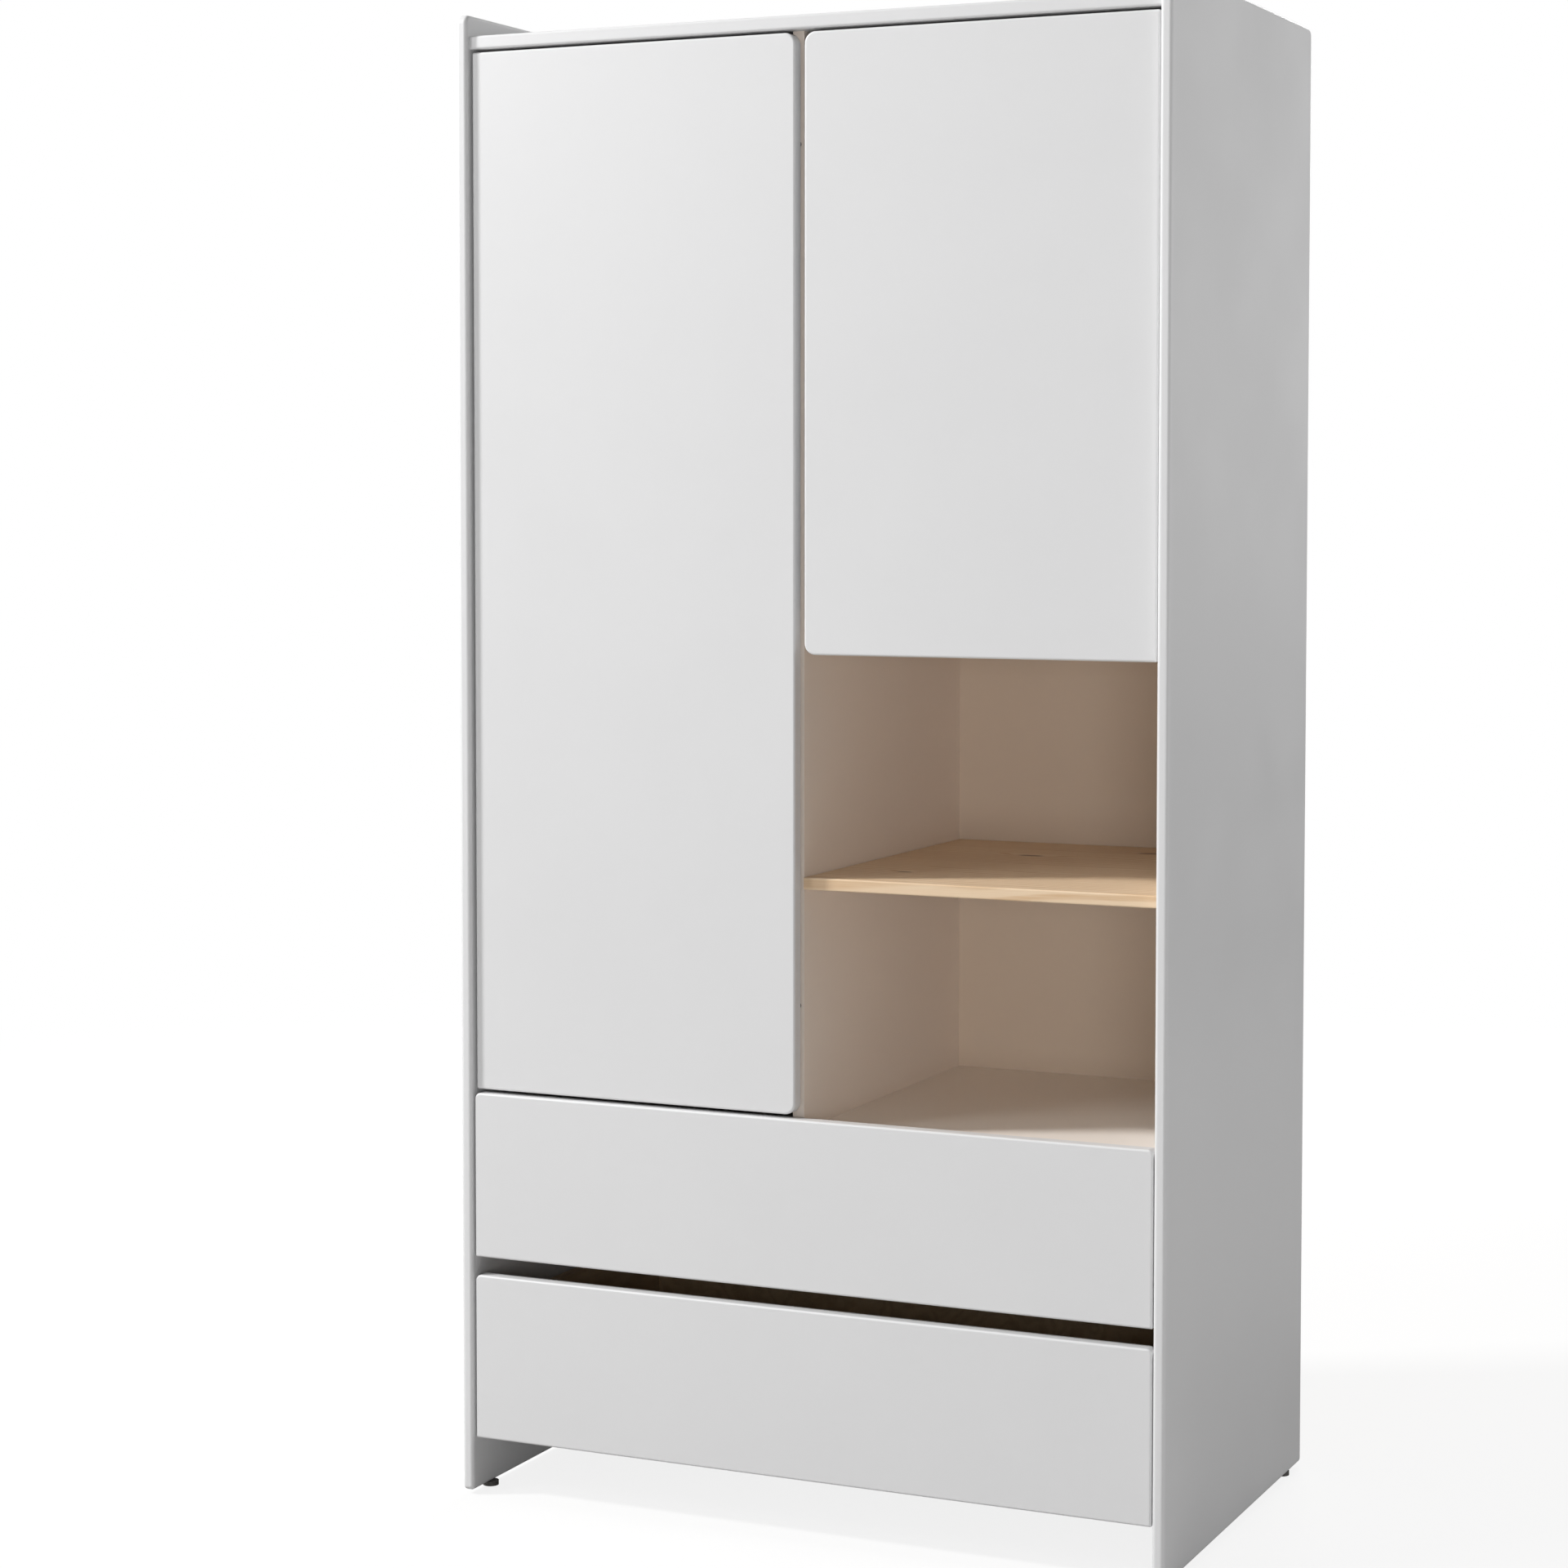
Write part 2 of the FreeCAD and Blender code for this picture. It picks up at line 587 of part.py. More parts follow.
def glides():
    discs = []
    for side in (-1, 1):
        for end in (-1, 1):
            at = (f"({side} * (width / 2 - glide_in))", f"({end} * (depth / 2 - glide_end))", "0")
            discs.append(rod("glide_r", "glide_t", at, FLAT, "Glide"))
    keep(bundle(discs), "foot_glides")


def clothes_rail():
    start = f"(-{INNER} + fit)"
    length = f"{INNER} + divider_x - board_t - 2 * fit"
    tube = rod("tube_r", length, (start, TUBE_Y, TUBE_Z), ALONG_X, "Tube")
    bore = rod("tube_r - tube_t", length, (start, TUBE_Y, TUBE_Z), ALONG_X, "TubeBore")
    keep(cut(tube, [bore], "TubeCut"), "clothes_rail")
    sockets = []
    for x, inward in ((f"-{INNER}", 1), ("(divider_x - board_t)", -1)):
        plate_x = x if inward > 0 else f"({x} - socket_t)"
        ring_x = x if inward > 0 else f"({x} - socket_len)"
        plate = rod("socket_r", "socket_t", (plate_x, TUBE_Y, TUBE_Z), ALONG_X, "SocketPlate")
        ring_r = "tube_r + fit + socket_wall"
        ring = rod(ring_r, "socket_len", (ring_x, TUBE_Y, TUBE_Z), ALONG_X, "SocketRing")
        hole = rod("tube_r + fit", "socket_len", (ring_x, TUBE_Y, TUBE_Z), ALONG_X, "SocketHole")
        sockets.append(cut(fuse([plate, ring], "SocketSolid"), [hole], "Socket"))
    keep(bundle(sockets), "clothes_rail_sockets")


def buffers():
    left_x = "(divider_x - board_t / 2)"
    play = "buffer_play"
    pad_y = f"({DOOR_BACK} + {play})"
    pads = []
    for z in (f"({LEFT_DOOR_LOW} + buffer_end)", f"({DOOR_HIGH} - buffer_end)"):
        pads.append(rod("buffer_r", f"divider_set - {play}", (left_x, pad_y, z), ALONG_Y, "Pad"))
    for step in (0, 1):
        x = f"(divider_x + buffer_x + {step} * buffer_step)"
        z = board_mid("niche_ceiling_panel")
        reach = f"{CEILING_FRONT} - {DOOR_BACK} - {play}"
        pads.append(rod("buffer_r", reach, (x, pad_y, z), ALONG_Y, "Pad"))
    keep(bundle(pads), "door_buffers")


# ---------------------------------------------------------------- hinges

PLATE_SCREW_Y = f"({PIVOT_Y} + {NECK_Y} + arm_len / 2)"
PLATE_SCREW_RISES = ("-plate_screw_gap / 2", "plate_screw_gap / 2")


def hinge_arm():
    """Gooseneck: knuckle on the pin, round the door's edge, then back along its plate."""
    bend, back, end = f"{NECK_X} + arm_t", f"{NECK_Y} + arm_t", f"{NECK_Y} + arm_len"
    foot = f"(-{PANEL_U} + plate_t)"
    points = [("0", "-arm_t / 2"), (bend, "-arm_t / 2"), (bend, back), (f"{foot} + arm_t", back),
              (f"{foot} + arm_t", end), (foot, end), (foot, NECK_Y), (NECK_X, NECK_Y),
              (NECK_X, "arm_t / 2"), ("0", "arm_t / 2")]
    body = slab("HingeArm", points, "arm_h", ("0", "0", "0"), FLAT, both_ways=True)
    raise_pad(body, circle(body, "0", "0", "knuckle_r", "KnuckleOutline"), "arm_h", both_ways=True)
    bore = body.newObject("PartDesign::Pocket", "KnuckleBore")
    bore.Profile = circle(body, "0", "0", "pin_r + pin_fit", "BoreOutline")
    bore.Type = "ThroughAll"
    bore.SideType = "Symmetric"
    DOC.recompute()
    return body


def hinge_plate():
    size = ("plate_t", "arm_len", "plate_h")
    plate = box(size, (f"-{PANEL_U}", NECK_Y, "-plate_h / 2"), "PlateBoard")
    holes = []
    for rise in PLATE_SCREW_RISES:
        at = (f"(-{PANEL_U} - 1)", f"{NECK_Y} + arm_len / 2", rise)
        holes.append(rod(SCREW_HOLE, "plate_t + 2", at, ALONG_X, "Hole"))
    return cut(plate, holes, "HingePlate")


def cup_rod(radius, length, v, name):
    return rod(radius, length, (CUP_U, v, "0"), ALONG_Y, name)


def hinge_cup():
    low = f"({REAR_V} - cup_depth)"
    shell = cup_rod("cup_r - cup_fit", "cup_depth", low, "CupShell")
    rim = cup_rod("flange_r", "flange_t", REAR_V, "CupRim")
    plate = box(("flange_wide", "flange_t", "flange_len"),
                (f"({CUP_U} + cup_screw_out - flange_wide / 2)", REAR_V, "-flange_len / 2"), "CupPlate")
    well = cup_rod("cup_r - cup_fit - cup_wall", "cup_depth + flange_t", f"({low} + cup_wall)", "CupWell")
    lug_box = box(("2 * lug_r", f"{REAR_V} - lug_r - {low} - cup_wall / 2", "2 * pin_half + 2 * lug_r"),
                  ("-lug_r", f"({low} + cup_wall / 2)", "-pin_half - lug_r"), "LugBox")
    lugs = common(lug_box, cup_rod("cup_r - cup_wall / 2", "cup_depth", low, "LugLimit"), "Lugs")
    slot = box(("4 * lug_r", "cup_depth", "arm_h + 2 * lug_gap"),
               ("-2 * lug_r", f"({low} + cup_wall)", "-arm_h / 2 - lug_gap"), "LugSlot")
    tube = rod("pin_r + pin_fit", "2 * pin_half", ("0", "0", "-pin_half"), FLAT, "PinBore")
    shape = cut(fuse([shell, rim, plate], "CupBlank"), [well], "CupHollow")
    shape = fuse([shape, cut(lugs, [slot], "LugPair")], "CupWithLugs")
    screw_u = f"({CUP_U} + cup_screw_out)"
    holes = [rod(SCREW_HOLE, "flange_t + 2", (screw_u, f"({REAR_V} - 1)", z), ALONG_Y, "Hole")
             for z in cup_screw_heights()]
    return cut(shape, [tube] + holes, "HingeCup")


def cup_screw_heights():
    return ("-cup_screw_gap / 2", "cup_screw_gap / 2")


def screw(name):
    """Flat-headed screw along its own +Z: the shank below the origin, the head above it."""
    head = rod("screw_head_r", "screw_head_t", ("0", "0", "0"), FLAT, name + "Head")
    shank = rod("screw_r", "screw_len", ("0", "0", "-screw_len"), FLAT, name + "Shank")
    return fuse([head, shank], name)


def copies(master, spots):
    """Links to one master solid; each spot is (x, y, z, turn)."""
    made = []
    for x, y, z, turn in spots:
        link = DOC.addObject("App::Link", master.Name + "At")
        link.LinkedObject = master
        link.LinkTransform = False
        place(link, (x, y, z), turn)
        made.append(link)
    return made


def hinge_spots(door):
    side, low, heights = DOORS[door]
    x = f"-{PIVOT_X}" if side < 0 else PIVOT_X
    turn = FLAT if side < 0 else HALF_TURN
    return [(x, PIVOT_Y, z, turn) for z in heights]


def cup_screw_spots(door):
    side = DOORS[door][0]
    spots = []
    for x, y, z, turn in hinge_spots(door):
        across = f"({x} - {side} * ({CUP_U} + cup_screw_out))"
        for shift in cup_screw_heights():
            spots.append((across, f"({DOOR_BACK} + flange_t)", f"({z} + {shift})", ALONG_Y))
    return spots


def hinges():
    arm, plate, cup, fixing = hinge_arm(), hinge_plate(), hinge_cup(), screw("HingeScrew")
    plate_screws = []
    for door, (side, low, heights) in DOORS.items():
        spots = hinge_spots(door)
        keep(bundle(copies(arm, spots)), f"{door}_hinge_arms")
        keep(bundle(copies(plate, spots)), f"{door}_hinge_plates")
        keep(bundle(copies(cup, spots)), f"{door}_hinge_cups")
        pins = [rod("pin_r", "2 * pin_half", (x, y, f"({z} - pin_half)"), FLAT, "HingePin")
                for x, y, z, turn in spots]
        keep(bundle(pins), f"{door}_hinge_pins")
        keep(bundle(copies(fixing, cup_screw_spots(door))), f"{door}_cup_screws")
        turn = ALONG_X if side < 0 else App.Rotation(Vec(0, 1, 0), -90)
        for z in heights:
            for rise in PLATE_SCREW_RISES:
                plate_screws.append((from_side(side, "plate_t"), PLATE_SCREW_Y, f"({z} + {rise})", turn))
    keep(bundle(copies(fixing, plate_screws)), "hinge_plate_screws")


# ---------------------------------------------------------------- doors

def door_panel(door):
    side, low, heights = DOORS[door]
    start = f"(-{INNER} + door_gap_side)" if side < 0 else RIGHT_DOOR_START
    end = LEFT_DOOR_END if side < 0 else f"({INNER} - door_gap_side)"
    body = slab(f"{door}DoorBoard", rectangle(f"{end} - {start}", f"{DOOR_HIGH} - {low}"), "front_t",
                (start, DOOR_BACK, low), TO_FRONT)
    free, hinged = (right_corner, left_corner) if side < 0 else (left_corner, right_corner)
    round_off(body, "free_corner_r", free)
    round_off(body, "hinge_corner_r", hinged)
    round_off(body, "front_edge_r", outer_rim)
    holes = []
    for x, y, z, turn in hinge_spots(door):
        cup_x = f"({x} - {side} * {CUP_U})"
        cup_y = f"({DOOR_BACK} - cup_depth - fit)"
        holes.append(rod("cup_r", "cup_depth + fit + 1", (cup_x, cup_y, z), ALONG_Y, "CupHole"))
    for x, y, z, turn in cup_screw_spots(door):
        holes.append(rod(SCREW_HOLE, "screw_len + 1", (x, f"({DOOR_BACK} - screw_len)", z), ALONG_Y, "Hole"))
    keep(cut(body, holes, f"{door}DoorCut"), f"{door}_door_panel")


# ---------------------------------------------------------------- drawers and runners

def drawer_front(drawer):
    start = f"(-{INNER} + drawer_gap_side)"
    body = slab(f"{drawer}Front", rectangle(f"2 * ({INNER} - drawer_gap_side)", "drawer_front_h"), "front_t",
                (start, DRAWER_BACK, DRAWERS[drawer]), TO_FRONT)
    round_off(body, "drawer_corner_r", upper_corner)
    round_off(body, "front_foot_r", lower_corner)
    round_off(body, "front_edge_r", outer_rim)
    keep(body, f"{drawer}_drawer_front")


def drawer_box(drawer):
    low = f"({DRAWERS[drawer]} + box_rise)"
    groove_z = f"({low} + base_rise)"
    for word, side in SIDES.items():
        x = f"(-{INNER} + runner_gap)" if side < 0 else f"({INNER} - runner_gap - box_t)"
        board = box(("box_t", BOX_LEN, BOX_H), (x, DRAWER_BACK, low), "DrawerSide")
        groove_x = f"({x} + box_t - groove_d)" if side < 0 else f"({x} - 1)"
        groove = box(("groove_d + 1", f"{BOX_LEN} + 2", "base_t + groove_slack"),
                     (groove_x, f"({DRAWER_BACK} - 1)", groove_z), "Groove")
        start = from_side(side, "runner_gap + screw_len" if side > 0 else "runner_gap - 1")
        z = rail_z(drawer)
        holes = [rod(SCREW_HOLE, "screw_len + 1", (start, y, z), ALONG_X, "Hole") for y in RAIL_SCREWS]
        keep(cut(board, [groove] + holes, "DrawerSideCut"), f"{drawer}_drawer_side_{word}")
    inside = f"({INNER} - runner_gap - box_t)"
    rear = f"({DRAWER_BACK} + {BOX_LEN})"
    back_low = f"({groove_z} + base_t + groove_slack)"
    keep(box((f"2 * {inside}", "box_t", f"{low} + {BOX_H} - {back_low}"),
             (f"-{inside}", f"({rear} - box_t)", back_low)), f"{drawer}_drawer_back")
    reach = f"({inside} + groove_d - groove_slack)"
    keep(box((f"2 * {reach}", BOX_LEN, "base_t"),
             (f"-{reach}", DRAWER_BACK, f"({groove_z} + groove_slack / 2)")), f"{drawer}_drawer_bottom")


def channel(web, edge, half):
    """Outline of a channel: its web at one distance from the side panel, its flanges up to another."""
    inward = f"({web} + rail_t)"
    low, high = f"-({half})", f"({half})"
    return [(web, low), (edge, low), (edge, f"{low} + rail_t"), (inward, f"{low} + rail_t"),
            (inward, f"{high} - rail_t"), (edge, f"{high} - rail_t"), (edge, high), (web, high)]


def rail(name, side, points, z):
    """A rail's outline, measured from the side panel's inner face, padded along the runner."""
    signed = [(x if side < 0 else f"-({x})", y) for x, y in points]
    return slab(name + "Rail", signed, RUNNER_LEN,
                (from_side(side, "0"), f"({RAIL_FRONT} + {RUNNER_LEN})", z), TO_FRONT)


def drilled_rail(name, side, points, z, web):
    body = rail(name, side, points, z)
    start = from_side(side, f"{web} - 1") if side < 0 else from_side(side, f"{web} + rail_t + 1")
    hole_r = "screw_head_r + screw_fit"
    holes = [rod(hole_r, "rail_t + 2", (start, y, z), ALONG_X, "Hole") for y in RAIL_SCREWS]
    return cut(body, holes, name + "Drilled")


def runners():
    outer_half = "runner_h / 2"
    middle_half = f"({outer_half} - rail_t - rail_play)"
    inner_half = f"({middle_half} - rail_t - rail_play)"
    inner_web = "(runner_gap - rail_t)"
    outer = channel("0", "outer_reach", outer_half)
    middle = channel("middle_start", "middle_reach", middle_half)
    inward = inner_web
    low, high = f"-({inner_half})", f"({inner_half})"
    inner = [("runner_gap", low), ("inner_start", low), ("inner_start", f"{low} + rail_t"),
             (inward, f"{low} + rail_t"), (inward, f"{high} - rail_t"), ("inner_start", f"{high} - rail_t"),
             ("inner_start", high), ("runner_gap", high)]
    to_left = App.Rotation(Vec(0, 1, 0), -90)
    outer_screws = []
    for drawer in DRAWERS:
        z = rail_z(drawer)
        middles = []
        inner_screws = []
        for word, side in SIDES.items():
            fixed = drilled_rail(f"{drawer}{word}Outer", side, outer, z, "0")
            moving = drilled_rail(f"{drawer}{word}Inner", side, inner, z, inner_web)
            keep(fixed, f"{drawer}_{word}_outer_rail")
            keep(moving, f"{drawer}_{word}_inner_rail")
            middles.append(rail(f"{drawer}{word}Middle", side, middle, z))
            outwards = ALONG_X if side < 0 else to_left
            inwards = to_left if side < 0 else ALONG_X
            outer_screws += [(from_side(side, "0"), y, z, outwards) for y in RAIL_SCREWS]
            inner_screws += [(from_side(side, "runner_gap"), y, z, inwards) for y in RAIL_SCREWS]
        keep(bundle(middles), f"{drawer}_middle_rails")
        fixing = screw(f"{drawer}RailScrew")
        keep(bundle(copies(fixing, inner_screws)), f"{drawer}_inner_rail_screws")
    fixing = screw("OuterRailScrew")
    keep(bundle(copies(fixing, outer_screws)), "outer_rail_screws")


# ---------------------------------------------------------------- build and write

def build():
    for word, side in SIDES.items():
        side_panel(f"side_panel_{word}", side)
    for name in FIXED_BOARDS:
        fixed_board(name)
    for name in SHELVES:
        shelf_board(name)
    divider()
    back_panels()
    rear_rails()
    cam_fittings()
    shelf_pins()
    clothes_rail()
    wall_brackets()
    glides()
    buffers()
    hinges()
    for door in DOORS:
        door_panel(door)
    for drawer in DRAWERS:
        drawer_front(drawer)
        drawer_box(drawer)
    runners()


def check():
    for obj in DOC.Objects:
        if {"Invalid", "Error"} & set(obj.State):
            raise RuntimeError(f"{obj.Name} failed: {obj.State}")
    for name, obj in NODES.items():
        if obj.Shape.isNull() or not obj.Shape.isValid() or not obj.Shape.Solids:
            raise RuntimeError(f"{name} has no valid solid")


def write():
    os.makedirs("parts", exist_ok=True)
    for name, obj in NODES.items():
        obj.Shape.exportStep(f"parts/{name}.step")
    print(len(NODES), "nodes written")


build()
DOC.recompute()
check()
write()
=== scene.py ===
import math

import bmesh
import bpy
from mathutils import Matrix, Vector

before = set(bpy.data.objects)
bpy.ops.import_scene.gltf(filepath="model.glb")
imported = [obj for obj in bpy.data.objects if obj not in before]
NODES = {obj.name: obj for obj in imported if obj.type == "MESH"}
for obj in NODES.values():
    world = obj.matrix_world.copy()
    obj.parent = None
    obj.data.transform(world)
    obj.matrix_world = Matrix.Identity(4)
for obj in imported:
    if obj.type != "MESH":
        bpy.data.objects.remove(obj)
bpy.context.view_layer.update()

# A white lacquered wardrobe with a pine shelf, on a pale floor. Metres, +Z up, front towards -Y.

SCENE = bpy.context.scene
DRAWERS = ("upper", "lower")
DOORS = ("left", "right")

# ---------------------------------------------------------------- camera, light and floor

CAMERA_AT = (1.7857, -4.2228, 1.3551)
CAMERA_TURN = (math.radians(90 - 2.9862), 0, math.radians(24.7213))
CAMERA_LENS = 77.05
CAMERA_SENSOR = 36
CAMERA_SHIFT = -0.07

WHITE = (1, 1, 1, 1)
WORLD_LIGHT = 0.15
BACKDROP_LIGHT = 1
SOFTBOXES = {
    # name: (place, aim, watts, width)
    "key_softbox": ((-5.88, -3.10, 5.60), (0.0, -0.30, 1.10), 575, 0.9),
    "high_softbox": ((-2.8, -3.4, 3.0), (0.0, 0.0, 0.7), 39, 1.2),
    "front_softbox": ((2.1, -4.8, 1.0), (-0.1, 0.0, 0.6), 44, 1.2),
    "side_softbox": ((3.2, 0.9, 1.7), (0.5, 0.0, 1.2), 23, 1.0),
    "rear_softbox": ((-0.4, 4.6, 3.0), (0.0, 0.2, 1.0), 85, 1.6),
}

FLOOR_HALF = 30  # half the width of the floor
FLOOR_COLOUR = (0.48, 0.475, 0.47, 1)
FADE_RING = (1.8, 4.5)  # how far out the floor starts and ends its fade
GLOW_STRENGTH = (1.28, 1.0)  # inside the ring and beyond it
GLOW_SHARE = (0.66, 1.0)


def softbox(name, place, aim, watts, width):
    """A square lamp turned towards its aim, out of the camera's sight."""
    lamp = bpy.data.lights.new(name, "AREA")
    lamp.energy = watts
    lamp.size = width
    obj = bpy.data.objects.new(name, lamp)
    SCENE.collection.objects.link(obj)
    obj.visible_camera = False
    obj.location = place
    obj.rotation_euler = (Vector(aim) - Vector(place)).to_track_quat("-Z", "Y").to_euler()


def studio():
    camera = bpy.data.cameras.new("studio_camera")
    camera.lens = CAMERA_LENS
    camera.sensor_width = CAMERA_SENSOR
    camera.shift_y = CAMERA_SHIFT
    obj = bpy.data.objects.new("studio_camera", camera)
    SCENE.collection.objects.link(obj)
    obj.location = CAMERA_AT
    obj.rotation_euler = CAMERA_TURN
    SCENE.camera = obj
    for name, (place, aim, watts, width) in SOFTBOXES.items():
        softbox(name, place, aim, watts, width)


def seen_directly(tree):
    """1 for camera, glossy and transmission rays, 0 for the rays that carry light."""
    path = tree.nodes.new("ShaderNodeLightPath")
    total = path.outputs["Is Camera Ray"]
    for name in ("Is Glossy Ray", "Is Transmission Ray"):
        step = tree.nodes.new("ShaderNodeMath")
        step.operation = "MAXIMUM"
        tree.links.new(total, step.inputs[0])
        tree.links.new(path.outputs[name], step.inputs[1])
        total = step.outputs[0]
    return total


def backdrop(tree, strength):
    shader = tree.nodes.new("ShaderNodeBackground")
    shader.inputs["Color"].default_value = WHITE
    shader.inputs["Strength"].default_value = strength
    return shader.outputs[0]


def studio_world():
    """A white backdrop that lights the wardrobe only a little."""
    world = bpy.data.worlds.new("studio")
    world.use_nodes = True
    tree = world.node_tree
    tree.nodes.clear()
    mix = tree.nodes.new("ShaderNodeMixShader")
    out = tree.nodes.new("ShaderNodeOutputWorld")
    tree.links.new(seen_directly(tree), mix.inputs["Fac"])
    tree.links.new(backdrop(tree, WORLD_LIGHT), mix.inputs[1])
    tree.links.new(backdrop(tree, BACKDROP_LIGHT), mix.inputs[2])
    tree.links.new(mix.outputs[0], out.inputs["Surface"])
    SCENE.world = world


def faded(tree, distance, near_value, far_value):
    """One value near the wardrobe and another one out on the floor."""
    fade = tree.nodes.new("ShaderNodeMapRange")
    fade.interpolation_type = "SMOOTHSTEP"
    fade.inputs["From Min"].default_value, fade.inputs["From Max"].default_value = FADE_RING
    fade.inputs["To Min"].default_value = near_value
    fade.inputs["To Max"].default_value = far_value
    tree.links.new(distance, fade.inputs["Value"])
    return fade.outputs["Result"]


def floor_finish():
    """Matt and shaded near the wardrobe, and glowing white further out for the camera alone."""
    material = bpy.data.materials.new("studio_floor")
    material.use_nodes = True
    tree = material.node_tree
    tree.nodes.clear()
    place = tree.nodes.new("ShaderNodeTexCoord").outputs["Object"]
    length = tree.nodes.new("ShaderNodeVectorMath")
    length.operation = "LENGTH"
    tree.links.new(place, length.inputs[0])
    distance = length.outputs["Value"]
    plain = tree.nodes.new("ShaderNodeBsdfDiffuse")
    plain.inputs["Color"].default_value = FLOOR_COLOUR
    glow = tree.nodes.new("ShaderNodeEmission")
    tree.links.new(faded(tree, distance, *GLOW_STRENGTH), glow.inputs["Strength"])
    share = tree.nodes.new("ShaderNodeMath")
    share.operation = "MULTIPLY"
    camera_ray = tree.nodes.new("ShaderNodeLightPath").outputs["Is Camera Ray"]
    tree.links.new(camera_ray, share.inputs[0])
    tree.links.new(faded(tree, distance, *GLOW_SHARE), share.inputs[1])
    mix = tree.nodes.new("ShaderNodeMixShader")
    out = tree.nodes.new("ShaderNodeOutputMaterial")
    tree.links.new(share.outputs[0], mix.inputs["Fac"])
    tree.links.new(plain.outputs[0], mix.inputs[1])
    tree.links.new(glow.outputs[0], mix.inputs[2])
    tree.links.new(mix.outputs[0], out.inputs["Surface"])
    return material


def studio_floor():
    """A pale floor that fades to the white backdrop and keeps the wardrobe's shadow."""
    shape = bmesh.new()
    bmesh.ops.create_grid(shape, x_segments=1, y_segments=1, size=FLOOR_HALF)
    mesh = bpy.data.meshes.new("studio_floor")
    shape.to_mesh(mesh)
    shape.free()
    mesh.materials.append(floor_finish())
    obj = bpy.data.objects.new("studio_floor", mesh)
    SCENE.collection.objects.link(obj)


# ---------------------------------------------------------------- finishes

BLEND_FIRST, BLEND_SECOND, BLEND_RESULT = 6, 7, 2  # the colour sockets of a Mix node


class Finish:
    """A procedural finish that reads the piece's own place in the wardrobe, in metres."""

    def __init__(self, name, metallic=0.0):
        self.material = bpy.data.materials.new(name)
        self.material.use_nodes = True
        self.tree = self.material.node_tree
        self.shader = self.tree.nodes["Principled BSDF"]
        self.shader.inputs["Metallic"].default_value = metallic
        self.place = self.tree.nodes.new("ShaderNodeTexCoord").outputs["Object"]

    def add(self, kind, **settings):
        node = self.tree.nodes.new(kind)
        for key, value in settings.items():
            setattr(node, key, value)
        return node

    def feed(self, source, socket):
        """Give a socket a number, a colour or another node's output."""
        if isinstance(source, (int, float, tuple)):
            socket.default_value = source
        else:
            self.tree.links.new(source, socket)

    def stretched(self, scale):
        node = self.add("ShaderNodeMapping")
        node.inputs["Scale"].default_value = scale
        self.feed(self.place, node.inputs["Vector"])
        return node.outputs[0]

    def noise(self, scale, detail, rough=0.5, place=None):
        node = self.add("ShaderNodeTexNoise")
        node.inputs["Scale"].default_value = scale
        node.inputs["Detail"].default_value = detail
        node.inputs["Roughness"].default_value = rough
        self.feed(place or self.place, node.inputs["Vector"])
        return node.outputs["Fac"]

    def maths(self, kind, *terms):
        node = self.add("ShaderNodeMath", operation=kind)
        for term, socket in zip(terms, node.inputs):
            self.feed(term, socket)
        return node.outputs[0]

    def between(self, value, low, high, to_low=0.0, to_high=1.0):
        """A smooth step from to_low, where value is low, to to_high, where it is high."""
        node = self.add("ShaderNodeMapRange", interpolation_type="SMOOTHSTEP")
        ends = {"Value": value, "From Min": low, "From Max": high,
                "To Min": to_low, "To Max": to_high}
        for socket, source in ends.items():
            self.feed(source, node.inputs[socket])
        return node.outputs["Result"]

    def blend(self, amount, first, second):
        node = self.add("ShaderNodeMix", data_type="RGBA")
        self.feed(amount, node.inputs["Factor"])
        self.feed(first, node.inputs[BLEND_FIRST])
        self.feed(second, node.inputs[BLEND_SECOND])
        return node.outputs[BLEND_RESULT]

    def axes(self, vector):
        node = self.add("ShaderNodeSeparateXYZ")
        self.feed(vector, node.inputs[0])
        return node.outputs

    def colour(self, source):
        self.feed(source, self.shader.inputs["Base Color"])

    def roughness(self, source):
        self.feed(source, self.shader.inputs["Roughness"])

    def relief(self, height, strength, depth):
        node = self.add("ShaderNodeBump")
        node.inputs["Strength"].default_value = strength
        node.inputs["Distance"].default_value = depth
        self.feed(height, node.inputs["Height"])
        self.tree.links.new(node.outputs[0], self.shader.inputs["Normal"])


def rgba(red, green, blue):
    return (red, green, blue, 1.0)


def lacquer(name, light, dark, smooth, rough, peel=0.06):
    """Sprayed satin lacquer: faint clouding, an uneven sheen and a fine peel."""
    finish = Finish(name)
    clouds = finish.noise(2.3, 3.0)
    sheen = finish.noise(6.0, 3.0)
    finish.colour(finish.blend(clouds, light, dark))
    finish.roughness(finish.between(sheen, 0.3, 0.7, smooth, rough))
    finish.relief(finish.noise(420.0, 2.0), peel, 0.0004)
    return finish.material


PINE_LIGHT, PINE_DARK = rgba(0.87, 0.665, 0.455), rgba(0.80, 0.585, 0.385)
PINE_LATE_WOOD = rgba(0.62, 0.38, 0.185)
PINE_FIBRE = rgba(0.92, 0.75, 0.55)
PINE_GLUE = rgba(0.30, 0.16, 0.08)
PINE_KNOT = rgba(0.17, 0.075, 0.03)
PINE_RINGS = 560.0  # growth rings across a board, in radians per metre
PINE_WANDER = 0.085  # how far the rings stray from straight
STAVE_WIDTH = 0.088
KNOT_LENGTH = 2.4  # along the grain, against 1 across it
KNOT_SWING = 0.020  # how far the grain bends round a knot
PINE_KNOTS = (
    # x, y and radius
    (0.455, -0.05, 0.010),
    (0.17, 0.10, 0.008),
    (0.31, 0.19, 0.007),
    (0.09, -0.16, 0.005),
)


